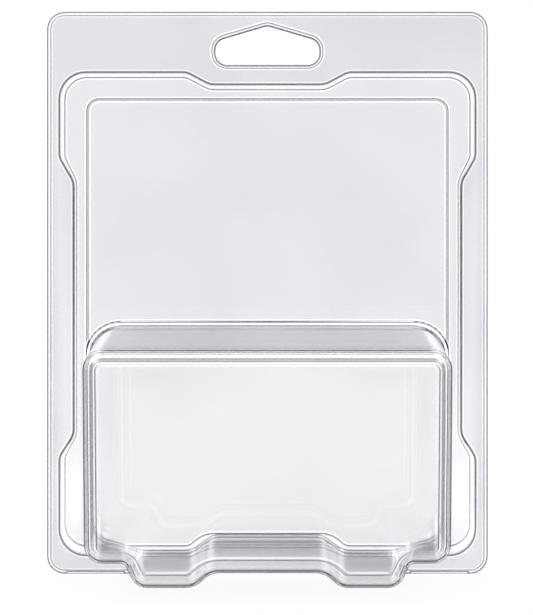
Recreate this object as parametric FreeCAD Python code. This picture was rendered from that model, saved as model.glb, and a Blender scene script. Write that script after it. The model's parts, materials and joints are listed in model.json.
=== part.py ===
import FreeCAD, Part
import math
import os

# Blister protector case: a clear thermoformed clamshell for a carded blister pack.
# Frame: X to the right seen from the front, +Z up, the front faces -Y.
# The outlines below are drawn about the hinge line: y = 0 is the parting plane of the two
# sheets and z = 0 the flange's bottom edge. The finished sheets are then moved so that the
# origin is the middle of the whole case's footprint, on the level of its lowest edge.

# Driving dimensions, in millimetres.
SHEET = 0.45                # thickness of both formed sheets
CASE_HALF_WIDTH = 70.4
CASE_HEIGHT = 179.6
CASE_CORNER = 5.6

BORDER = 1.0                # flat border where the two sheets touch
FIELD_RISE = 0.3            # the field inside the border stands this much proud
PANEL_RISE = 0.8            # further rise of the window panel
PANEL_HALF_WIDTH = 57.7
PANEL_TOP = 151.8
PANEL_CORNER = 4.0

HOLE_HALF_WIDTH = 16.65     # hang hole
HOLE_BOTTOM = 162.6
HOLE_SHOULDER = 170.2
HOLE_APEX = 175.1
HOLE_END_RADIUS = 3.8

BUBBLE_DEPTH = 48.5
BUBBLE_EDGE = 4.3           # rounding of the bubble's front edge
ALMOST = 0.999              # leaves a sliver of wall, so that a rounding ends on its own face
SIDE_TAPER = 0.5            # the bubble is this much narrower low down, on each side
BASE_HALF_WIDTH = 57.0      # bubble outline on the flange
BASE_TOP = 79.6
BASE_TOP_CORNER = 10.0
FACE_HALF_WIDTH = 53.9      # bubble outline on its front face
FACE_TOP = 74.1
FACE_TOP_CORNER = 5.8

FOOT_LEVEL = 4.8            # lowest line of the two feet, at the front
FOOT_INNER = 21.4
FOOT_OUTER = 38.3
FOOT_BASE_LEVEL = 7.7       # where the feet start on the flange

POCKET_DEPTH = 3.2          # card pocket, pressed into the back sheet
POCKET_DRAFT = 1.35
POCKET_BOTTOM_DRAFT = 2.5
POCKET_HALF_WIDTH = 66.7
POCKET_WAIST = 62.2
WAIST_DRAFT = 0.6           # steeper sides along the waist
POCKET_TOP = 160.5
POCKET_BOTTOM = 5.7

HINGE_INNER = 46.0          # the living hinge is two short folds, one at each bottom corner
HINGE_OUTER = 64.0
HINGE_CLEARANCE = 0.06


def mirrored(half):
    """Whole outline from its right half, given from the bottom to the top."""
    other = [(-x, z, r) for x, z, r in reversed(half) if x > 0]
    return half + other


def directions(corners, i):
    """Unit directions of the edges that enter and leave corner i."""
    x0, z0, _ = corners[i - 1]
    x1, z1, _ = corners[i]
    x2, z2, _ = corners[(i + 1) % len(corners)]
    before = math.hypot(x1 - x0, z1 - z0)
    after = math.hypot(x2 - x1, z2 - z1)
    return ((x1 - x0) / before, (z1 - z0) / before), ((x2 - x1) / after, (z2 - z1) / after)


def inset(corners, distance):
    """The outline moved inwards (or outwards, if negative) by a distance."""
    moved = []
    for i, (x, z, r) in enumerate(corners):
        (ax, az), (bx, bz) = directions(corners, i)
        scale = distance / (1 + ax * bx + az * bz)
        turn = ax * bz - az * bx
        radius = r - distance if turn > 0 else r + distance
        moved.append((x - scale * (az + bz), z + scale * (ax + bx), max(radius, 0.05)))
    return moved


def corner_arc(corners, i, depth):
    """Five points along the arc that rounds corner i, in the plane y = depth."""
    x, z, r = corners[i]
    (ax, az), (bx, bz) = directions(corners, i)
    side = 1.0 if ax * bz - az * bx > 0 else -1.0
    turn = math.acos(max(-1.0, min(1.0, ax * bx + az * bz)))
    reach = r * math.tan(turn / 2)
    start_x, start_z = x - ax * reach, z - az * reach
    points = []
    for share in (0.0, 0.25, 0.5, 0.75, 1.0):
        along = r * math.sin(turn * share)
        across = side * r * (1 - math.cos(turn * share))
        px = start_x + ax * along - az * across
        pz = start_z + az * along + ax * across
        points.append(FreeCAD.Vector(px, depth, pz))
    return points


def rounded_loop(corners, depth, halved=False):
    """Closed wire in the plane y = depth, each corner (x, z, r) rounded by one or two arcs."""
    arcs = [corner_arc(corners, i, depth) for i in range(len(corners))]
    edges = []
    for i, (a, b, c, d, e) in enumerate(arcs):
        if halved:
            edges += [Part.Arc(a, b, c).toShape(), Part.Arc(c, d, e).toShape()]
        else:
            edges.append(Part.Arc(a, c, e).toShape())
        edges.append(Part.makeLine(e, arcs[(i + 1) % len(arcs)][0]))
    return Part.Wire(edges)


def drafted(near, near_y, far, far_y, halved=False):
    """Solid between two outlines that have the same number of corners."""
    loops = [rounded_loop(near, near_y, halved), rounded_loop(far, far_y, halved)]
    return Part.makeLoft(loops, True, True)


def plate(corners, from_y, to_y):
    """Flat plate with an outline, between two depths."""
    face = Part.Face(rounded_loop(corners, from_y))
    return face.extrude(FreeCAD.Vector(0, to_y - from_y, 0))


def flange_outline():
    """Outside of both sheets, cut back under the bubble between the bottom corners."""
    return mirrored([
        (18.0, 7.8, 3.0),
        (24.4, FOOT_LEVEL + 0.1, 3.0),
        (42.6, FOOT_LEVEL + 0.1, 1.5),
        (43.8, 0.0, 0.6),
        (CASE_HALF_WIDTH, 0.0, CASE_CORNER),
        (CASE_HALF_WIDTH, CASE_HEIGHT, CASE_CORNER),
    ])


def hang_hole_outline():
    return mirrored([
        (HOLE_HALF_WIDTH, HOLE_BOTTOM, HOLE_END_RADIUS),
        (HOLE_HALF_WIDTH, HOLE_SHOULDER, HOLE_END_RADIUS),
        (0.0, HOLE_APEX, 3.0),
    ])


def panel_outline():
    """Window panel; its lower end is hidden under the bubble."""
    return mirrored([
        (PANEL_HALF_WIDTH, 50.0, 2.0),
        (PANEL_HALF_WIDTH, PANEL_TOP, PANEL_CORNER),
    ])


def bubble_base_outline():
    return mirrored([
        (17.3, 12.8, 8.0),
        (24.1, FOOT_BASE_LEVEL, 8.0),
        (40.5, FOOT_BASE_LEVEL, 9.0),
        (47.5, 9.8, 12.0),
        (BASE_HALF_WIDTH - SIDE_TAPER, 12.6, 8.0),
        (BASE_HALF_WIDTH, BASE_TOP, BASE_TOP_CORNER),
    ])


def bubble_rim_outline():
    return mirrored([
        (16.4, 9.1, 6.5),
        (FOOT_INNER, FOOT_LEVEL, 6.5),
        (FOOT_OUTER, FOOT_LEVEL, 5.3),
        (41.6, 11.9, 1.7),
        (FACE_HALF_WIDTH - SIDE_TAPER, 11.9, 5.5),
        (FACE_HALF_WIDTH, FACE_TOP, FACE_TOP_CORNER),
    ])


def pocket_outline():
    """Mouth of the card pocket: notched top and bottom, waisted sides."""
    return mirrored([
        (20.0, 9.7, 8.0),
        (24.7, POCKET_BOTTOM, 5.0),
        (POCKET_HALF_WIDTH, POCKET_BOTTOM, 8.6),
        (POCKET_HALF_WIDTH, 37.4, 6.0),
        (POCKET_WAIST, 44.4, 6.0),
        (POCKET_WAIST, 125.3, 6.0),
        (POCKET_HALF_WIDTH, 133.0, 6.0),
        (POCKET_HALF_WIDTH, POCKET_TOP, 8.6),
        (25.7, POCKET_TOP, 6.0),
        (18.4, 156.6, 6.0),
    ])


def pocket_floor_outline():
    """Floor of the pocket: inset by the draft, wider along the bottom, less at the waist."""
    floor = []
    for x, z, r in inset(pocket_outline(), POCKET_DRAFT):
        if z < 20:
            z += POCKET_BOTTOM_DRAFT - POCKET_DRAFT
        if 40 < z < 130:
            x += math.copysign(POCKET_DRAFT - WAIST_DRAFT, x)
        floor.append((x, z, r))
    return floor


def bubble(thickness):
    """The bubble's outer form, or with a thickness, the space inside it."""
    base = inset(bubble_base_outline(), thickness)
    rim = inset(bubble_rim_outline(), thickness)
    front_y = thickness - BUBBLE_DEPTH
    radius = BUBBLE_EDGE - thickness
    walls = drafted(base, 0.0, rim, front_y + radius, halved=True)
    front = plate(rim, front_y + radius, front_y)
    edges = [e for e in front.Edges if e.BoundBox.YMax < front_y + 0.01]
    return walls.fuse(front.makeFillet(radius * ALMOST, edges))


def riser(corners, from_y, rise, thickness):
    """A shallow step with 45 degree sides that stands out to the front."""
    start = inset(corners, thickness * math.tan(math.pi / 8))
    return drafted(start, from_y, inset(start, rise), from_y - rise)


def front_form(thickness):
    """Everything in front of the parting plane, to one side of the sheet or the other."""
    level = thickness - SHEET
    field = riser(inset(flange_outline(), BORDER), level, FIELD_RISE, thickness)
    rim = riser(inset(hang_hole_outline(), -BORDER - FIELD_RISE), level, -FIELD_RISE, 0)
    panel = riser(panel_outline(), level - FIELD_RISE, PANEL_RISE, thickness)
    return field, rim, panel, bubble(thickness)


def hinge_rods(clearance):
    """A rod along the hinge line at each bottom corner, grown by a clearance all round."""
    along = FreeCAD.Vector(1, 0, 0)
    length = HINGE_OUTER - HINGE_INNER + 2 * clearance
    starts = [FreeCAD.Vector(x - clearance, 0, 0) for x in (HINGE_INNER, -HINGE_OUTER)]
    return [Part.makeCylinder(SHEET + clearance, length, start, along) for start in starts]


def hang_hole():
    return plate(hang_hole_outline(), -5.0, 5.0)


def front_solid(thickness):
    """All that stands in front of the parting plane: outside the sheet, or the space in it."""
    field, rim, panel, box = front_form(thickness)
    return field.cut(rim).fuse([panel, box])


def front_shell():
    """Flange, raised field, hang hole, window panel, bubble and hinge folds, from one sheet."""
    body = plate(flange_outline(), 0.0, -SHEET).fuse([front_solid(0.0)] + hinge_rods(0.0))
    return body.cut([front_solid(SHEET), hang_hole()]).removeSplitter()


def back_shell():
    """Flange, hang hole and card pocket, from one sheet that turns round the hinge folds."""
    mouth = pocket_outline()
    floor = pocket_floor_outline()
    grow = SHEET * math.tan(math.atan2(POCKET_DEPTH, POCKET_DRAFT) / 2)
    outside = drafted(inset(mouth, -grow), SHEET, inset(floor, -grow), SHEET + POCKET_DEPTH)
    inside = drafted(mouth, 0.0, floor, POCKET_DEPTH)
    body = plate(flange_outline(), 0.0, SHEET).fuse(outside)
    return body.cut([inside, hang_hole()] + hinge_rods(HINGE_CLEARANCE)).removeSplitter()


def export(name, shape):
    """Moves the hinge line to its place over the origin and writes the sheet."""
    shape.translate(FreeCAD.Vector(0, (BUBBLE_DEPTH - POCKET_DEPTH - SHEET) / 2, SHEET))
    shape.exportStep("parts/" + name + ".step")
    print(name, "valid", shape.isValid(), "solids", len(shape.Solids), "volume", round(shape.Volume))


os.makedirs("parts", exist_ok=True)
export("front_shell", front_shell())
export("back_shell", back_shell())
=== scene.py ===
import json
import math

import bpy
import numpy as np
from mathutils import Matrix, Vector
from mathutils.geometry import delaunay_2d_cdt


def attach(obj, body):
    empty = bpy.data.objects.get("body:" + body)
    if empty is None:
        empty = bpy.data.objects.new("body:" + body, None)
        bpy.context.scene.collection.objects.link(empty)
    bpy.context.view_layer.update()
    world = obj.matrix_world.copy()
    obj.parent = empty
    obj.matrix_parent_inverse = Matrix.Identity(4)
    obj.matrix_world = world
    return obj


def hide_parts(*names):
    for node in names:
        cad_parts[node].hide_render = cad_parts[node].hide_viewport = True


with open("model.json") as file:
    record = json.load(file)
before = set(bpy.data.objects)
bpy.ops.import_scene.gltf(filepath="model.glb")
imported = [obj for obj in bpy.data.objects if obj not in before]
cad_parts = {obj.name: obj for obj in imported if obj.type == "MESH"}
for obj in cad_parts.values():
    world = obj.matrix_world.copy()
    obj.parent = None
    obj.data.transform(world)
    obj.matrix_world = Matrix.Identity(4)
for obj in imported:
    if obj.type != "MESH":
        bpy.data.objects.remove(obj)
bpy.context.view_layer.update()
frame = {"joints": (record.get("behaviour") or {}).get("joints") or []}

# A clear blister protector case, dressed. Lengths are millimetres about the hinge line:
# x from mid-width, y from the parting plane (the front is -y), z from the flange's bottom
# edge. linked() takes them to metres in the frame.
MM = 0.001
PLACE = Vector(frame["joints"][0]["pos_m"])

# The two formed sheets
SHEET = 0.45
LAYER_GAP = 0.03            # keeps the two sheets' touching faces apart
CASE_HALF_WIDTH = 70.4
CASE_HEIGHT = 179.6
CASE_CORNER = 5.6
RIM_ROUND = 0.35            # roll-over of the cut edges
ROLL = 0.97                 # share of a full quarter round that the roll-over takes
BORDER = 1.0
FIELD_RISE = 0.3
FIELD_RAMP = 0.3
HOLE_HALF_WIDTH = 16.65     # hang hole
HOLE_BOTTOM = 162.6
HOLE_SHOULDER = 170.2
HOLE_APEX = 175.1
HOLE_END_RADIUS = 3.8
HOLE_APEX_RADIUS = 3.0
PANEL_HALF_WIDTH = 57.7
PANEL_TOP = 151.8
PANEL_BOTTOM = 50.0         # out of sight under the bubble
PANEL_CORNER = 4.0
PANEL_RISE = 0.8
PANEL_RAMP = 0.8
BUBBLE_DEPTH = 48.5
BUBBLE_EDGE = 4.3
ROOT_RADIUS = 1.1
BASE_HALF_WIDTH = 57.0      # bubble outline on the flange
BASE_TOP = 79.6
FACE_HALF_WIDTH = 53.9      # bubble outline at its front edge
FACE_TOP = 74.1
FOOT_LEVEL = 4.8
FOOT_INNER = 21.4
FOOT_OUTER = 38.3
FOOT_BASE_LEVEL = 7.7
POCKET_DEPTH = 3.2
POCKET_DRAFT = 1.35
POCKET_BOTTOM_DRAFT = 2.5
POCKET_HALF_WIDTH = 66.7
POCKET_WAIST = 62.2
WAIST_DRAFT = 0.6
POCKET_TOP = 160.5
POCKET_BOTTOM = 5.7
LOW_END = 20.0              # corners of the pocket under this have the bottom draft
WAIST_ENDS = (40.0, 130.0)  # corners of the pocket between these belong to the waist
BEND = 0.22                 # half width of a bend in the film
FOLD_INNER = 46.0
FOLD_OUTER = 64.0
FOLD_GAP = 0.06             # between the folds and the back sheet
NOTCH_CORNER = 0.04
SMALLEST_RADIUS = 0.02      # of the corners of an inset outline

# Mesh density
ARC_STEPS = 8               # segments in each rounded corner
ROW = 0.14                  # spacing of the rows of vertices across a bend
ROOT_STEPS = 10
LOW_WALL_STEPS = 14         # close to the root
LOW_WALL_SHARES = (0.01, 0.2)
WALL_STEPS = 14
WALL_SPACING = 0.7          # closer together towards the rim
POCKET_STEPS = 14
POCKET_ROW = 0.1            # spacing of the rows before the mouth and on the floor
BETWEEN = 9                 # extra points along each straight of the bubble
EDGE_STEPS = 36
FOLD_STEPS = 18
CUT_REACH = 2.3             # how far in from a cut edge of the front sheet its rows go
BACK_CUT_REACH = 0.6        # and of the back sheet
PANEL_REACH = (-0.9, 1.8)
ROOT_REACH = (-0.9, 0.75)
MOUTH_REACH = 0.8
POCKET_FLOOR_REACH = 1.0
GLOW_SIZES = (0.15, 0.4, 0.65, 0.9)
GLOW_CORNERS = 24
FACE_GRID = 1.6
FACE_GAP = 0.6 * FACE_GRID  # between the grid and the last ring round it
SHARP_DEGREES = 60          # edges over this stay sharp

# Bends in formed film act as lenses; their fine dark and bright lines beside each other are
# painted here as shade and highlights.
# Each line is (place across the bend, half width, strength): painted shade above 0, painted
# highlight below.
EDGE_LINES = [(0.05, 0.24, 0.95), (0.65, 0.26, -0.9), (1.22, 0.18, 0.6), (1.65, 0.16, -0.6)]
HOLE_LINES = [(0.12, 0.2, 0.85), (0.6, 0.2, -0.6), (1.1, 0.18, 0.65), (1.5, 0.2, -0.9)]
PANEL_LINES = [(-0.4, 0.18, -0.9), (0.0, 0.2, 0.85), (0.55, 0.2, 0.45), (1.15, 0.24, -0.9)]
MOUTH_LINES = [(-0.5, 0.2, -0.6), (0.0, 0.22, 0.9)]
POCKET_FLOOR_LINES = [(0.0, 0.24, 0.95), (0.6, 0.25, -0.9)]
POCKET_WALL = (0.5, 0.32, -0.8)         # as shares of the way from mouth to floor
# Painted lines round the bubble: across its root, along its walls, and in from the start of its
# rounding
BASE_LINES = [(-ROOT_RADIUS, 0.28, 0.9), (-0.55, 0.22, -0.9)]
INNER_BASE = (0.0, 0.3, 0.9)            # along the underside, and weaker along the top
INNER_BASE_TOP = 0.55
OUTSIDE_BASE = (-ROOT_RADIUS - 0.45, 0.2, -0.9)
WALL_PAINTED_SHADES = (0.09, -0.08, 0.48)        # painted shade by the way a wall faces: top, sides, bottom
LOW_ROOT_LINES = [(0.5, 1.1, 0.5), (2.4, 0.8, -0.9), (4.2, 0.8, 0.4), (6.3, 1.4, -0.35)]
ROOT_STRETCH = 0.8                      # these lines spread by this share outside the feet
OUTSIDE_FEET = (40.0, 44.0)
LOW_WALL_PAINTED_LIGHT = (0.0, 17.0, -0.55)         # painted light on the front of the bottom walls
TOP_RIM_LINES = [(-3.6, 1.2, 0.12), (-1.9, 0.7, -0.5), (-0.2, 0.5, 0.1)]
TOP_LINES = [(0.25, 0.22, -0.7), (0.72, 0.22, 0.6), (1.5, 0.52, -1.0), (2.4, 0.2, 0.55),
             (2.8, 0.3, 0.35), (3.22, 0.2, 0.6), (3.7, 0.25, -1.0), (4.1, 0.16, 0.35),
             (4.42, 0.16, -0.6)]
SIDE_LINES = [(0.0, 0.3, 0.85), (0.72, 0.18, -0.4), (1.2, 0.18, 0.3), (1.9, 0.34, -1.0),
              (2.5, 0.18, 0.45), (3.05, 0.42, 0.4), (3.67, 0.18, -0.7), (4.05, 0.2, 0.85)]
BOTTOM_LINES = [(0.0, 0.22, 0.6), (1.3, 0.7, -0.75), (3.4, 0.5, 0.08)]
SIDE_WINDOW_LINES = [(4.85, 0.32, -1.0)]    # where the flat front starts
SIDE_WINDOW_HEIGHTS = (17.0, 26.0)      # these fade in
LOW_WINDOW_LINES = [(4.45, 0.22, 0.6), (5.15, 0.3, -0.7)]
LOW_WINDOW_ENDS = (33.5, 37.5)          # these fade out
RIM_REACH = 5.8                         # how far in from the rim the lines go
LOW_PAINTED_STREAKS = (-0.85, 0.6, 12.0)            # painted highlight and shade streaks in the low corners: mean, swing, turns
TOP_PAINTED_STREAKS = (-0.4, 0.8, 4.5)          # painted highlight and shade streaks in the upper corners of the rounding
TOP_STREAK_START = (0.3, 0.8)
TOP_CORNER_PAINTED_GLOW = (-0.95, 0.35, 26.0)   # painted highlight in the upper corners of the walls
# Where the painted corner highlight fades in: from the root, and from the rim
GLOW_FROM_ROOT = (-0.9, -0.3)
GLOW_FROM_RIM = (0.5, 4.0)
CORNER_POWERS = (0.75, 2.0)             # how narrow the painted streaks are: upper, low corners
# Painted highlight on the hinge folds
FOLD_PAINTED_GLINT = -0.5

# Painted shade and painted highlights in soft patches on the front face: (x, z, reach along x,
# reach along z, strength), on both sides
FACE_PAINTED_PATCHES = [(47.4, 19.4, 1.6, 3.4, 0.3), (44.2, 16.6, 4.0, 1.3, 0.3),
                (45.6, 20.0, 1.5, 1.5, -0.6), (41.0, 17.6, 2.6, 1.1, -0.7),
                (38.6, 15.4, 2.4, 1.0, -0.9), (36.0, 16.0, 5.0, 1.1, -0.3),
                (36.0, 67.0, 10.0, 2.6, 0.05), (46.0, 56.0, 2.6, 12.0, 0.05)]
# A painted highlight: a soft bright patch on the flange low on each side, in the same form
FLANGE_PAINTED_HIGHLIGHT = (61.6, 25.0, 3.0, 14.0, -0.6)

# Film: what each face of a sheet lets through, with its painted shade and glints
FILM_IOR = 1.5
FLANGE_TINT = (0.944, 0.946, 0.955)
PANEL_TINT = (0.938, 0.940, 0.949)
DRAWN_TINT = (0.958, 0.959, 0.965)
GRAZING_TINT = (0.79, 0.80, 0.815)      # on top of the others, at grazing angles: partly the longer path through the film, partly painted shade
PATCHY_TINT = (0.986, 0.986, 0.988)     # on top of the others, in soft patches
PATCHES = 28.0                          # per metre
# Colours of the painted lines: near black for painted shade, a gain over white for painted glints
DARKEST_PAINTED_SHADE = (0.08, 0.08, 0.085)
PAINTED_GLINT_GAIN = (1.4, 1.4, 1.4)              # painted glint: a bright line lets through more light than reaches it
# Where these take over, as distances from the parting plane
PANEL_LEVELS = (0.8, 1.1)
DRAWN_LEVELS = (1.6, 3.0)
MIRRORED_LEVELS = (2.4, 2.6)            # reflections show the painted lines of bends from here on
GRAZING_FACING = (0.45, 0.95)
PATCHY_NOISE = (0.4, 0.65)

# Studio in the reflections: (share of the way from -y to +y, brightness), both ends first
STUDIO_LEVELS = [(0.0, 0.3), (1.0, 0.4), (0.02, 0.35), (0.05, 1.6), (0.7, 1.6), (0.8, 0.2),
                 (0.95, 0.2), (0.98, 0.4)]

# Camera, metres
CAMERA_DISTANCE = 0.495
CAMERA_HEIGHT = 0.1001
CAMERA_LENS = 60.4          # millimetres, on a 24 mm high sensor
CAMERA_SHIFT = (-0.0015, -0.074)

# Floor and lamps, metres and watts
FLOOR_SIZE = 3.0
FLOOR_IN_MIRROR = (0.35, 0.35, 0.355)
FLOOR_WHITE = 0.935
FLOOR_PAPER = 0.08          # the share that takes shadow
LAMPS = [("key", (-0.5, -0.7, 0.7), (0.5, 0.5), 2), ("fill", (0.7, -0.5, 0.3), (0.3, 0.6), 1)]


# ---- outlines: lists of (x, z, radius), anticlockwise from the bottom middle ----

def mirrored(half):
    return half + [(-x, z, r) for x, z, r in reversed(half) if x > 0]


def flange_outline():
    return mirrored([
        (18.0, 7.8, 3.0),
        (24.4, FOOT_LEVEL + 0.1, 3.0),
        (42.6, FOOT_LEVEL + 0.1, 1.5),
        (43.8, 0.0, 0.6),
        (CASE_HALF_WIDTH, 0.0, CASE_CORNER),
        (CASE_HALF_WIDTH, CASE_HEIGHT, CASE_CORNER),
    ])


def back_outline():
    """The flange outline with room for the hinge folds."""
    corners = flange_outline()
    inner, outer, top = FOLD_INNER - FOLD_GAP, FOLD_OUTER + FOLD_GAP, SHEET + FOLD_GAP
    notch = [(x, z, NOTCH_CORNER)
             for x, z in ((inner, 0.0), (inner, top), (outer, top), (outer, 0.0))]
    half = [corner for corner in corners if corner[0] > 0]
    return mirrored(half[:4] + notch + half[4:])


def hang_hole_outline():
    return mirrored([
        (HOLE_HALF_WIDTH, HOLE_BOTTOM, HOLE_END_RADIUS),
        (HOLE_HALF_WIDTH, HOLE_SHOULDER, HOLE_END_RADIUS),
        (0.0, HOLE_APEX, HOLE_APEX_RADIUS),
    ])


def panel_outline():
    return mirrored([
        (PANEL_HALF_WIDTH, PANEL_BOTTOM, 2.0),
        (PANEL_HALF_WIDTH, PANEL_TOP, PANEL_CORNER),
    ])


def bubble_base_outline():
    return mirrored([
        (17.3, 12.8, 8.0),
        (24.1, FOOT_BASE_LEVEL, 8.0),
        (40.5, FOOT_BASE_LEVEL, 9.0),
        (47.5, 9.8, 12.0),
        (56.5, 12.6, 8.0),
        (BASE_HALF_WIDTH, BASE_TOP, 10.0),
    ])


def bubble_rim_outline():
    return mirrored([
        (16.4, 9.1, 6.5),
        (FOOT_INNER, FOOT_LEVEL, 6.5),
        (FOOT_OUTER, FOOT_LEVEL, 5.3),
        (41.6, 11.9, 1.7),
        (53.4, 11.9, 5.5),
        (FACE_HALF_WIDTH, FACE_TOP, 5.8),
    ])


def pocket_outline():
    return mirrored([
        (20.0, 9.7, 8.0),
        (24.7, POCKET_BOTTOM, 5.0),
        (POCKET_HALF_WIDTH, POCKET_BOTTOM, 8.6),
        (POCKET_HALF_WIDTH, 37.4, 6.0),
        (POCKET_WAIST, 44.4, 6.0),
        (POCKET_WAIST, 125.3, 6.0),
        (POCKET_HALF_WIDTH, 133.0, 6.0),
        (POCKET_HALF_WIDTH, POCKET_TOP, 8.6),
        (25.7, POCKET_TOP, 6.0),
        (18.4, 156.6, 6.0),
    ])


def pocket_floor_outline():
    """Floor of the pocket: inset by the draft, wider along the bottom, less at the waist."""
    floor = []
    for x, z, r in inset(pocket_outline(), POCKET_DRAFT):
        if z < LOW_END:
            z += POCKET_BOTTOM_DRAFT - POCKET_DRAFT
        if WAIST_ENDS[0] < z < WAIST_ENDS[1]:
            x += math.copysign(POCKET_DRAFT - WAIST_DRAFT, x)
        floor.append((x, z, r))
    return floor


def directions(corners, i):
    """Unit directions of the straights before and after a corner."""
    x0, z0, _ = corners[i - 1]
    x1, z1, _ = corners[i]
    x2, z2, _ = corners[(i + 1) % len(corners)]
    before = math.hypot(x1 - x0, z1 - z0)
    after = math.hypot(x2 - x1, z2 - z1)
    return ((x1 - x0) / before, (z1 - z0) / before), ((x2 - x1) / after, (z2 - z1) / after)


def inset(corners, distance):
    """The outline moved inwards, or outwards if the distance is negative."""
    moved = []
    for i, (x, z, r) in enumerate(corners):
        (ax, az), (bx, bz) = directions(corners, i)
        scale = distance / (1 + ax * bx + az * bz)
        turn = ax * bz - az * bx
        radius = r - distance if turn > 0 else r + distance
        radius = max(radius, SMALLEST_RADIUS)
        moved.append((x - scale * (az + bz), z + scale * (ax + bx), radius))
    return moved


def traced(corners, between=0):
    """Points (x, z) round the outline: ARC_STEPS + 1 at each corner, and some in between."""
    arcs = [corner_points(corners, i) for i in range(len(corners))]
    points = []
    for arc, following in zip(arcs, arcs[1:] + arcs[:1]):
        points += arc
        start, end = np.array(arc[-1]), np.array(following[0])
        points += [tuple(start + (end - start) * (k + 1) / (between + 1)) for k in range(between)]
    return np.array(points)


def corner_points(corners, i):
    """Points along the rounding of one corner."""
    x, z, r = corners[i]
    (ax, az), (bx, bz) = directions(corners, i)
    side = 1.0 if ax * bz - az * bx > 0 else -1.0
    turn = math.acos(max(-1.0, min(1.0, ax * bx + az * bz)))
    reach = r * math.tan(turn / 2)
    cx = x - ax * reach - side * az * r
    cz = z - az * reach + side * ax * r
    start = math.atan2(z - az * reach - cz, x - ax * reach - cx)
    angles = [start + side * turn * step / ARC_STEPS for step in range(ARC_STEPS + 1)]
    return [(cx + r * math.cos(angle), cz + r * math.sin(angle)) for angle in angles]


def rows_across(outline, start, end):
    """Loops at even distances inside an outline, from start to end."""
    count = max(2, round((end - start) / ROW) + 1)
    return [traced(inset(outline, distance)) for distance in np.linspace(start, end, count)]


def depth_in(outline, points):
    """Distance from each point to an outline, positive inside it."""
    return depth_in_loop(traced(outline), points)


def depth_in_loop(loop, points):
    """The same for a closed loop of points."""
    nearest = np.full(len(points), 1e9)
    inside = np.zeros(len(points), bool)
    for a, b in zip(loop, np.roll(loop, -1, axis=0)):
        span = b - a
        along = np.clip(((points - a) @ span) / max(span @ span, 1e-12), 0, 1)
        nearest = np.minimum(nearest, np.hypot(*(points - a - along[:, None] * span).T))
        if abs(span[1]) > 1e-12:
            at = a[0] + (points[:, 1] - a[1]) * span[0] / span[1]
            inside ^= ((a[1] > points[:, 1]) != (b[1] > points[:, 1])) & (points[:, 0] < at)
    return np.where(inside, nearest, -nearest)


# ---- sections across the film ----

def bent(distance):
    """max(distance, 0) with its corner bent over 2 * BEND."""
    bend = (distance + BEND) ** 2 / (4 * BEND)
    return np.where(distance < -BEND, 0.0, np.where(distance > BEND, distance, bend))


def riser(distance, width):
    """0 to 1 across a straight riser with a bend at each end."""
    return (bent(distance) - bent(distance - width)) / width


def rolled(distance):
    """Height share of a cut edge: a quarter round that reaches 1 at RIM_ROUND."""
    share = 1 - np.clip(distance / RIM_ROUND, 0, 1)
    return np.sqrt(1 - (ROLL * share) ** 2)


def lines(distance, pattern):
    """The pattern's dark and clear lines at some places across it."""
    total = np.zeros_like(distance)
    for middle, half_width, strength in pattern:
        total += strength * np.exp(-(((distance - middle) / half_width) ** 4))
    return total


def front_section(points):
    """Depth and painted shade and highlights of the front sheet's outer face, without the bubble.
    """
    edge = depth_in(flange_outline(), points)
    hole = -depth_in(hang_hole_outline(), points)
    panel = depth_in(panel_outline(), points)
    bubble = depth_in(bubble_base_outline(), points)
    field = np.minimum(riser(edge - BORDER, FIELD_RAMP), riser(hole - BORDER, FIELD_RAMP))
    level = SHEET * np.minimum(rolled(edge), rolled(hole))
    level = level + FIELD_RISE * field + PANEL_RISE * riser(panel, PANEL_RAMP)
    shade = lines(edge, EDGE_LINES) + lines(hole, HOLE_LINES)
    shade += lines(panel, PANEL_LINES) + lines(bubble, BASE_LINES + [OUTSIDE_BASE])
    return -level, shade + patches(points, [FLANGE_PAINTED_HIGHLIGHT])


# ---- meshes ----

def triangulated(loops, keep):
    """Triangles between closed loops of (x, z); keep(points) says which stay."""
    points = [Vector(p) for loop in loops for p in loop]
    edges = []
    first = 0
    for loop in loops:
        count = len(loop)
        edges += [(first + i, first + (i + 1) % count) for i in range(count)]
        first += count
    out, _, faces, origins, _, _ = delaunay_2d_cdt(points, edges, [], 0, 1e-5)
    flat = np.array([tuple(p) for p in out])
    middles = np.array([flat[list(f)].mean(axis=0) for f in faces])
    return flat, [tuple(f) for f, good in zip(faces, keep(middles)) if good], origins


def strip(first, second, count):
    """Quads between two rings of vertices that start at these indices."""
    return [
        (first + i, first + (i + 1) % count, second + (i + 1) % count, second + i)
        for i in range(count)
    ]


def outward(loop):
    """Outward direction at each point of a closed loop of (x, z)."""
    along = np.roll(loop, -1, axis=0) - np.roll(loop, 1, axis=0)
    return np.column_stack([along[:, 1], -along[:, 0]]) / np.hypot(*along.T)[:, None]


def painted_streaks(side, up, upper):
    """Painted highlight and shade that turn light and dark round the bubble's corners, nothing on
    straights.
    """
    corner = np.abs(2 * side * up) ** np.where(up > 0, *CORNER_POWERS)
    angle = np.arctan2(up, np.abs(side))
    means, swings, turns = (np.where(up > 0, a, b) for a, b in zip(upper, LOW_PAINTED_STREAKS))
    return corner * (means + swings * np.sin(turns * angle))


def by_direction(side, up, top, sides, bottom):
    """Blend of three values by the way a wall faces."""
    return side**2 * sides + np.maximum(up, 0) ** 2 * top + np.minimum(up, 0) ** 2 * bottom


def wall_shade(points, from_root, from_rim, side, up):
    """Painted shade, highlights and lines of the bubble's walls."""
    top, sides, bottom = WALL_PAINTED_SHADES
    from_root = from_root / (1 + ROOT_STRETCH * faded(np.abs(points[:, 0]), *OUTSIDE_FEET))
    top += lines(from_rim, TOP_RIM_LINES)
    bottom += lines(from_rim, [LOW_WALL_PAINTED_LIGHT]) + lines(from_root, LOW_ROOT_LINES)
    corners = painted_streaks(side, up, TOP_CORNER_PAINTED_GLOW) * faded(-from_rim, *GLOW_FROM_RIM)
    return by_direction(side, up, top, sides, bottom) + corners


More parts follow.
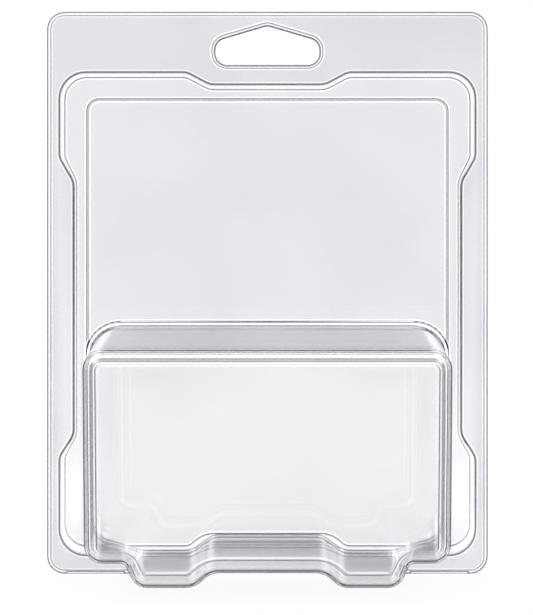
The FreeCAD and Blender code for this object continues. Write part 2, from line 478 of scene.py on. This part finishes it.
def rounding_shade(inwards, points, side, up):
    """Painted dark and bright lines round the bubble's front edge; the inner ones fade out at the
    outer low corners.
    """
    across, z = np.abs(points[:, 0]), points[:, 1]
    inwards = np.full(1, inwards)
    sides = lines(inwards, SIDE_LINES)
    sides = sides + lines(inwards, SIDE_WINDOW_LINES) * faded(z, *SIDE_WINDOW_HEIGHTS)
    bottom = lines(inwards, BOTTOM_LINES)
    bottom = bottom + lines(inwards, LOW_WINDOW_LINES) * (1 - faded(across, *LOW_WINDOW_ENDS))
    return by_direction(side, up, lines(inwards, TOP_LINES), sides, bottom)


def faded(values, start, end):
    """0 below the start to 1 above the end, smoothly."""
    share = np.clip((values - start) / (end - start), 0, 1)
    return share**2 * (3 - 2 * share)


def patches(points, pattern):
    """Soft painted patches of shade or highlight, the same on both sides."""
    across, z = np.abs(points[:, 0]), points[:, 1]
    shade = np.zeros(len(points))
    for x0, z0, reach_x, reach_z, strength in pattern:
        shade += strength * np.exp(-(((across - x0) / reach_x) ** 2 + ((z - z0) / reach_z) ** 2))
    return shade


def glow_loops():
    """Nested ovals that give the sheet vertices where the painted flange highlight lies."""
    x0, z0, reach_x, reach_z, _ = FLANGE_PAINTED_HIGHLIGHT
    turn = np.linspace(0, 2 * math.pi, GLOW_CORNERS, endpoint=False)
    return [
        np.column_stack([side * (x0 + reach_x * size * np.cos(turn)),
                         z0 + reach_z * size * np.sin(turn)])
        for side in (1, -1) for size in GLOW_SIZES
    ]


def bubble_rings():
    """Rings (points, painted shades) from the bubble's root on the sheet to its front face."""
    base, rim = traced(bubble_base_outline(), BETWEEN), traced(bubble_rim_outline(), BETWEEN)
    rim_y = BUBBLE_EDGE - BUBBLE_DEPTH
    level, _ = front_section(traced(inset(bubble_base_outline(), -ROOT_RADIUS), BETWEEN))
    side, up = outward(rim).T
    rings = []
    for step in range(ROOT_STEPS + 1):
        angle = math.pi / 2 * step / ROOT_STEPS
        back = ROOT_RADIUS * (1 - math.sin(angle))
        y = level - ROOT_RADIUS * (1 - math.cos(angle))
        out = traced(inset(bubble_base_outline(), -back), BETWEEN)
        out = out + (rim - base) * (y / rim_y)[:, None]
        place = np.full(1, -back)
        inner = lines(place, [INNER_BASE]) * np.where(up < 0, 1.0, INNER_BASE_TOP * up**4)
        inner += painted_streaks(side, up, TOP_CORNER_PAINTED_GLOW) * faded(-back, *GLOW_FROM_ROOT)
        rings.append((out, y, lines(place, BASE_LINES) + inner))
    foot = rings[-1][1]
    low = np.linspace(*LOW_WALL_SHARES, LOW_WALL_STEPS)
    high = np.linspace(0.1, 1.0, WALL_STEPS) ** WALL_SPACING
    for share in np.unique(np.concatenate([low, high])):
        y = foot + (rim_y - foot) * share
        out = base + (rim - base) * (y / rim_y)[:, None]
        rings.append((out, y, wall_shade(out, foot - y, rim_y - y, side, up)))
    for step in range(1, EDGE_STEPS + 1):
        angle = math.pi / 2 * step / EDGE_STEPS
        inwards = BUBBLE_EDGE * (1 - math.cos(angle))
        out = traced(inset(bubble_rim_outline(), inwards), BETWEEN)
        shade = rounding_shade(inwards, out, side, up)
        start = math.cos(angle) * faded(inwards, *TOP_STREAK_START)
        shade += painted_streaks(side, up, TOP_PAINTED_STREAKS) * start
        rings.append((out, rim_y - BUBBLE_EDGE * math.sin(angle), shade))
    for inwards in np.arange(BUBBLE_EDGE + ROW, RIM_REACH, ROW):
        out = traced(inset(bubble_rim_outline(), inwards), BETWEEN)
        shade = rounding_shade(inwards, out, side, up) + patches(out, FACE_PAINTED_PATCHES)
        rings.append((out, -BUBBLE_DEPTH, shade))
    count = len(rim)
    return [
        (np.column_stack([out[:, 0], np.broadcast_to(y, count), out[:, 1]]),
         np.broadcast_to(shade, count))
        for out, y, shade in rings
    ]


def front_skin():
    """Outer face of the front sheet: vertices, faces and a painted shade or highlight for each
    vertex.
    """
    outline, hole = flange_outline(), hang_hole_outline()
    root_outline = inset(bubble_base_outline(), -ROOT_RADIUS)
    root = bubble_rings()[0][0][:, [0, 2]]
    loops = [root]
    loops += rows_across(outline, 0.0, CUT_REACH)
    loops += rows_across(inset(hole, -CUT_REACH), 0.0, CUT_REACH)
    loops += rows_across(panel_outline(), *PANEL_REACH)
    loops += rows_across(inset(root_outline, ROOT_REACH[0]), 0.0, ROOT_REACH[1]) + glow_loops()

    def keep(points):
        on_sheet = (depth_in(outline, points) > 0) & (depth_in(hole, points) < 0)
        return on_sheet & (depth_in(root_outline, points) < -0.001)

    flat, faces, origins = triangulated(loops, keep)
    level, shades = front_section(flat)
    vertices = [(x, y, z) for (x, z), y in zip(flat, level)]
    shades = list(shades)
    at_root = {s: i for i, sources in enumerate(origins) for s in sources if s < len(root)}
    count = len(root)
    first = len(vertices)
    for points, ring_shades in bubble_rings()[1:]:
        vertices += [tuple(p) for p in points]
        shades += list(ring_shades)
    for i in range(count):
        j = (i + 1) % count
        faces.append((at_root[i], at_root[j], first + j, first + i))
    for start in range(first, len(vertices) - count, count):
        faces += strip(start, start + count, count)
    add_face(vertices, faces, shades, count)
    return vertices, faces, shades


def add_face(vertices, faces, shades, count):
    """Closes the bubble inside its last ring of vertices with a fine net of triangles."""
    first = len(vertices) - count
    ring = np.array([(x, z) for x, _, z in vertices[first:]])
    low, high = ring.min(axis=0), ring.max(axis=0)
    net = np.array([(x, z) for x in np.arange(low[0], high[0], FACE_GRID)
                    for z in np.arange(low[1], high[1], FACE_GRID)])
    net = net[depth_in_loop(ring, net) > FACE_GAP]
    points = [Vector(p) for p in ring] + [Vector(p) for p in net]
    edges = [(i, (i + 1) % count) for i in range(count)]
    flat, _, triangles, origins, _, _ = delaunay_2d_cdt(points, edges, [], 1, 1e-5)
    index = [first + origin[0] if origin[0] < count else None for origin in origins]
    for i, (x, z) in enumerate(flat):
        if index[i] is None:
            index[i] = len(vertices)
            vertices.append((x, -BUBBLE_DEPTH, z))
            shades.append(patches(np.array([(x, z)]), FACE_PAINTED_PATCHES)[0])
    faces += [tuple(index[corner] for corner in triangle) for triangle in triangles]


def back_skin():
    """Outer face of the back sheet: flange, pocket riser and pocket floor."""
    outline, hole = back_outline(), hang_hole_outline()
    mouth, floor = traced(pocket_outline()), traced(pocket_floor_outline())
    across = np.hypot(*(floor - mouth).T)
    inwards = (floor - mouth) / across[:, None]
    before = np.arange(MOUTH_REACH, 0.0, -POCKET_ROW)
    beyond = np.arange(POCKET_ROW, POCKET_FLOOR_REACH, POCKET_ROW)
    places = [np.full(len(mouth), -distance) for distance in before]
    places += [across * share for share in np.linspace(0, 1, POCKET_STEPS + 1)]
    places += [across + distance for distance in beyond]
    rows = [mouth + inwards * place[:, None] for place in places]
    loops = rows + rows_across(outline, 0.0, BACK_CUT_REACH)
    loops += rows_across(inset(hole, -BACK_CUT_REACH), 0.0, BACK_CUT_REACH)

    def keep(points):
        return (depth_in(outline, points) > 0) & (depth_in(hole, points) < 0)

    flat, faces, origins = triangulated(loops, keep)
    edge = depth_in(outline, flat)
    gap = -depth_in(hole, flat)
    level = SHEET * np.minimum(rolled(edge), rolled(gap))
    shades = lines(edge, EDGE_LINES[:1]) + lines(gap, HOLE_LINES[:1])
    for i, sources in enumerate(origins):
        row, spot = divmod(min(sources, default=len(rows) * len(mouth)), len(mouth))
        if row < len(rows):
            place = places[row][spot : spot + 1]
            level[i] += POCKET_DEPTH * riser(place, across[spot])[0]
            shades[i] += lines(place, MOUTH_LINES)[0]
            shades[i] += lines(place - across[spot], POCKET_FLOOR_LINES)[0]
            shades[i] += lines(place / across[spot], [POCKET_WALL])[0]
    vertices = [(x, y, z) for (x, z), y in zip(flat, level)]
    return vertices, [tuple(reversed(f)) for f in faces], shades


def fold_skin():
    """The rounded folds of the two hinge tabs, round the hinge line to the front sheet."""
    vertices, faces = [], []
    count = FOLD_STEPS + 2
    start_angle = LAYER_GAP / SHEET
    turn = 1.5 * math.pi - 2 * start_angle
    for start, end in ((FOLD_INNER, FOLD_OUTER), (-FOLD_OUTER, -FOLD_INNER)):
        first = len(vertices)
        for x in (start, end):
            for step in range(FOLD_STEPS + 1):
                angle = start_angle + turn * step / FOLD_STEPS
                vertices.append((x, -SHEET * math.cos(angle), -SHEET * math.sin(angle)))
            vertices.append((x, LAYER_GAP, -LAYER_GAP))
        faces += strip(first, first + count, count)
        faces.append(tuple(range(first + count - 1, first - 1, -1)))
        faces.append(tuple(range(first + count, first + 2 * count)))
    return vertices, faces, [FOLD_PAINTED_GLINT] * len(vertices)


def shaded(piece, shades):
    """Keep the painted shade or highlight of each vertex, for the material."""
    bend = piece.data.attributes.new("bend", "FLOAT", "POINT")
    for i, shade in enumerate(shades):
        bend.data[i].value = shade


def linked(name, vertices, faces):
    """A mesh object from vertices in millimetres about the hinge line."""
    mesh = bpy.data.meshes.new(name)
    mesh.from_pydata([Vector((x, y, z)) * MM + PLACE for x, y, z in vertices], [], faces)
    piece = bpy.data.objects.new(name, mesh)
    bpy.context.scene.collection.objects.link(piece)
    return piece


def finished(piece, body, node, material):
    """Smooth normals, material and place in the table."""
    piece.data.shade_smooth()
    piece.data.set_sharp_from_angle(angle=math.radians(SHARP_DEGREES))
    level = piece.modifiers.new("level flats", "WEIGHTED_NORMAL")
    level.keep_sharp = True
    level.weight = 100
    piece.data.materials.append(material)
    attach(piece, body)
    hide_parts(node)


def formed_sheet(name, skin, side):
    """A sheet from its outer face; side is 1 for the front sheet and -1 for the back."""
    vertices, faces, shades = skin
    piece = linked(name, vertices, faces)
    thick = piece.modifiers.new("sheet", "SOLIDIFY")
    thick.thickness = SHEET * MM
    thick.offset = -1.0
    thick.use_even_offset = True
    depsgraph = bpy.context.evaluated_depsgraph_get()
    piece.data = bpy.data.meshes.new_from_object(piece.evaluated_get(depsgraph))
    piece.data.name = name
    piece.modifiers.clear()
    shaded(piece, shades)
    # the inner face stays on its own side of the parting plane
    parting = PLACE.y - side * LAYER_GAP * MM
    for vertex in piece.data.vertices:
        if (vertex.co.y - parting) * side > 0:
            vertex.co.y = parting
    return piece


# ---- materials ----

def node_setup(owner):
    owner.use_nodes = True
    owner.node_tree.nodes.clear()
    return owner.node_tree.nodes, owner.node_tree.links


def mixed(nodes, links, factor, first, second):
    """Output of a colour mix. The colours are constants or outputs of other nodes."""
    mix = nodes.new("ShaderNodeMix")
    mix.data_type = "RGBA"
    links.new(factor, mix.inputs["Factor"])
    for name, colour in (("A", first), ("B", second)):
        socket = next(i for i in mix.inputs if i.name == name and i.type == "RGBA")
        if isinstance(colour, tuple):
            socket.default_value = (*colour, 1)
        else:
            links.new(colour, socket)
    return next(o for o in mix.outputs if o.type == "RGBA")


def computed(nodes, links, operation, first, second=None, clamped=False):
    """Output of a math node. The values are numbers or outputs of other nodes."""
    node = nodes.new("ShaderNodeMath")
    node.operation = operation
    node.use_clamp = clamped
    for socket, value in zip(node.inputs, (first, second)):
        if isinstance(value, (int, float)):
            socket.default_value = value
        elif value is not None:
            links.new(value, socket)
    return node.outputs[0]


def mapped(nodes, links, value, start, end):
    """Output that goes from 0 to 1 as a value goes from start to end."""
    reach = nodes.new("ShaderNodeMapRange")
    reach.inputs["From Min"].default_value = start
    reach.inputs["From Max"].default_value = end
    links.new(value, reach.inputs["Value"])
    return reach.outputs[0]


def mirror_ray(nodes, links):
    """1 for what is seen in a reflection, 0 for what is seen directly or through film."""
    path = nodes.new("ShaderNodeLightPath").outputs
    glossy, through = path["Is Glossy Ray"], path["Is Transmission Ray"]
    return computed(nodes, links, "SUBTRACT", glossy, through, clamped=True)


def direct_ray(nodes, links):
    """1 for what the camera sees, directly or through film."""
    path = nodes.new("ShaderNodeLightPath").outputs
    camera, through = path["Is Camera Ray"], path["Is Transmission Ray"]
    return computed(nodes, links, "ADD", camera, through, clamped=True)


def clear_film(name):
    """Clear formed film, thinner and clearer where it is drawn far from the parting
    plane. The bend attribute paints shade and highlights along its bends, and the painted
    lines of the flat parts stay out of reflections."""
    material = bpy.data.materials.new(name)
    nodes, links = node_setup(material)
    place = nodes.new("ShaderNodeTexCoord")
    split = nodes.new("ShaderNodeSeparateXYZ")
    links.new(place.outputs["Object"], split.inputs[0])
    offset = computed(nodes, links, "SUBTRACT", split.outputs["Y"], PLACE.y)
    drawn = computed(nodes, links, "ABSOLUTE", offset)
    on_panel, on_drawn, off_flat = (
        mapped(nodes, links, drawn, start * MM, end * MM)
        for start, end in (PANEL_LEVELS, DRAWN_LEVELS, MIRRORED_LEVELS)
    )
    # painted shade above 0 and painted highlights below 0, per vertex
    bend = nodes.new("ShaderNodeAttribute")
    bend.attribute_name = "bend"
    direct = computed(nodes, links, "SUBTRACT", 1.0, mirror_ray(nodes, links))
    kept = computed(nodes, links, "MAXIMUM", direct, off_flat)
    bend = computed(nodes, links, "MULTIPLY", bend.outputs["Fac"], kept)

    tint = mixed(nodes, links, on_panel, FLANGE_TINT, PANEL_TINT)
    tint = mixed(nodes, links, on_drawn, tint, DRAWN_TINT)
    # darker at grazing angles: partly the longer path through the film, partly painted shade
    facing = nodes.new("ShaderNodeLayerWeight")
    grazing = mapped(nodes, links, facing.outputs["Facing"], *GRAZING_FACING)
    grazing = mixed(nodes, links, grazing, (1.0, 1.0, 1.0), GRAZING_TINT)
    noise = nodes.new("ShaderNodeTexNoise")
    noise.inputs["Scale"].default_value = PATCHES
    noise.inputs["Detail"].default_value = 1.0
    links.new(place.outputs["Object"], noise.inputs["Vector"])
    patchy = mapped(nodes, links, noise.outputs["Fac"], *PATCHY_NOISE)
    patchy = mixed(nodes, links, patchy, (1.0, 1.0, 1.0), PATCHY_TINT)
    for other in (grazing, patchy):
        product = nodes.new("ShaderNodeVectorMath")
        product.operation = "MULTIPLY"
        links.new(tint, product.inputs[0])
        links.new(other, product.inputs[1])
        tint = product.outputs[0]
    # painted shade: the dark lines mix the film's colour towards near black
    tint = mixed(nodes, links, mapped(nodes, links, bend, 0.0, 1.0), tint, DARKEST_PAINTED_SHADE)
    film = nodes.new("ShaderNodeBsdfGlass")
    film.inputs["IOR"].default_value = FILM_IOR
    film.inputs["Roughness"].default_value = 0.0
    links.new(tint, film.inputs["Color"])
    # painted highlight: the bright lines let through more light than reaches them
    painted_glint = nodes.new("ShaderNodeBsdfTransparent")
    painted_glint.inputs["Color"].default_value = (*PAINTED_GLINT_GAIN, 1)
    surface = nodes.new("ShaderNodeMixShader")
    links.new(mapped(nodes, links, bend, 0.0, -1.0), surface.inputs[0])
    links.new(film.outputs[0], surface.inputs[1])
    links.new(painted_glint.outputs[0], surface.inputs[2])
    out = nodes.new("ShaderNodeOutputMaterial")
    links.new(surface.outputs[0], out.inputs["Surface"])
    return material


# ---- stage ----

def studio_world():
    """White behind the case. Its reflections see a studio round the y axis: soft boxes
    well off the axis and grey cloth before and behind."""
    world = bpy.data.worlds.new("studio")
    bpy.context.scene.world = world
    nodes, links = node_setup(world)
    place = nodes.new("ShaderNodeTexCoord")
    split = nodes.new("ShaderNodeSeparateXYZ")
    links.new(place.outputs["Generated"], split.inputs[0])
    studio = nodes.new("ShaderNodeValToRGB")
    steps = studio.color_ramp.elements
    for step, (position, level) in enumerate(STUDIO_LEVELS):
        element = steps[step] if step < 2 else steps.new(position)
        element.position = position
        element.color = (level, level, level * 1.01, 1)
    links.new(mapped(nodes, links, split.outputs["Y"], -1.0, 1.0), studio.inputs[0])
    background = nodes.new("ShaderNodeBackground")
    shown = mixed(nodes, links, mirror_ray(nodes, links), (1.0, 1.0, 1.0),
                  studio.outputs["Color"])
    links.new(shown, background.inputs["Color"])
    out = nodes.new("ShaderNodeOutputWorld")
    links.new(background.outputs[0], out.inputs["Surface"])


def white_floor():
    """A pale floor that shows white and keeps a little of the case's shadow. What is seen
    directly shows through it, so the back sheet is also seen where it swings below."""
    size = FLOOR_SIZE
    mesh = bpy.data.meshes.new("floor")
    corners = [(-size, -size, 0), (size, -size, 0), (size, size, 0), (-size, size, 0)]
    mesh.from_pydata(corners, [], [(0, 1, 2, 3)])
    floor = bpy.data.objects.new("floor", mesh)
    bpy.context.scene.collection.objects.link(floor)
    material = bpy.data.materials.new("floor_paper")
    nodes, links = node_setup(material)
    out = nodes.new("ShaderNodeOutputMaterial")
    add = nodes.new("ShaderNodeAddShader")
    paper = nodes.new("ShaderNodeBsdfDiffuse")
    paper.inputs["Color"].default_value = (FLOOR_PAPER, FLOOR_PAPER, FLOOR_PAPER, 1)
    glow = nodes.new("ShaderNodeEmission")
    glow.inputs["Strength"].default_value = FLOOR_WHITE
    shown = mixed(nodes, links, mirror_ray(nodes, links), (1.0, 1.0, 1.0), FLOOR_IN_MIRROR)
    links.new(shown, glow.inputs["Color"])
    clear = nodes.new("ShaderNodeBsdfTransparent")
    clear.inputs["Color"].default_value = (FLOOR_WHITE, FLOOR_WHITE, FLOOR_WHITE, 1)
    ground = nodes.new("ShaderNodeMixShader")
    links.new(direct_ray(nodes, links), ground.inputs[0])
    links.new(glow.outputs[0], ground.inputs[1])
    links.new(clear.outputs[0], ground.inputs[2])
    links.new(paper.outputs[0], add.inputs[0])
    links.new(ground.outputs[0], add.inputs[1])
    links.new(add.outputs[0], out.inputs["Surface"])
    mesh.materials.append(material)


def soft_light(name, place, size, watts):
    """A rectangular lamp that points at the middle of the case."""
    lamp = bpy.data.lights.new(name, "AREA")
    lamp.shape = "RECTANGLE"
    lamp.size, lamp.size_y = size
    lamp.energy = watts
    holder = bpy.data.objects.new(name, lamp)
    holder.location = place
    aim = Vector((0, 0, CAMERA_HEIGHT)) - Vector(place)
    holder.rotation_euler = aim.to_track_quat("-Z", "Y").to_euler()
    holder.visible_transmission = False
    bpy.context.scene.collection.objects.link(holder)


def front_camera():
    """Square on to the flange, a little over half way up it."""
    lens = bpy.data.cameras.new("camera")
    lens.sensor_fit = "VERTICAL"
    lens.sensor_height = 24.0
    lens.lens = CAMERA_LENS
    lens.shift_x, lens.shift_y = CAMERA_SHIFT
    lens.clip_start = 0.01
    camera = bpy.data.objects.new("camera", lens)
    camera.location = (0, PLACE.y - CAMERA_DISTANCE, CAMERA_HEIGHT)
    camera.rotation_euler = (math.radians(90), 0, 0)
    bpy.context.scene.collection.objects.link(camera)
    bpy.context.scene.camera = camera


# ---- the case ----

film = clear_film("clear_film")
finished(formed_sheet("front_film", front_skin(), 1), "front", "front_shell", film)
finished(formed_sheet("back_film", back_skin(), -1), "back", "back_shell", film)
*fold_mesh, fold_shades = fold_skin()
folds = linked("hinge_folds", *fold_mesh)
shaded(folds, fold_shades)
finished(folds, "front", "front_shell", film)

studio_world()
white_floor()
for lamp in LAMPS:
    soft_light(*lamp)
front_camera()
bpy.context.scene.view_settings.view_transform = "Standard"
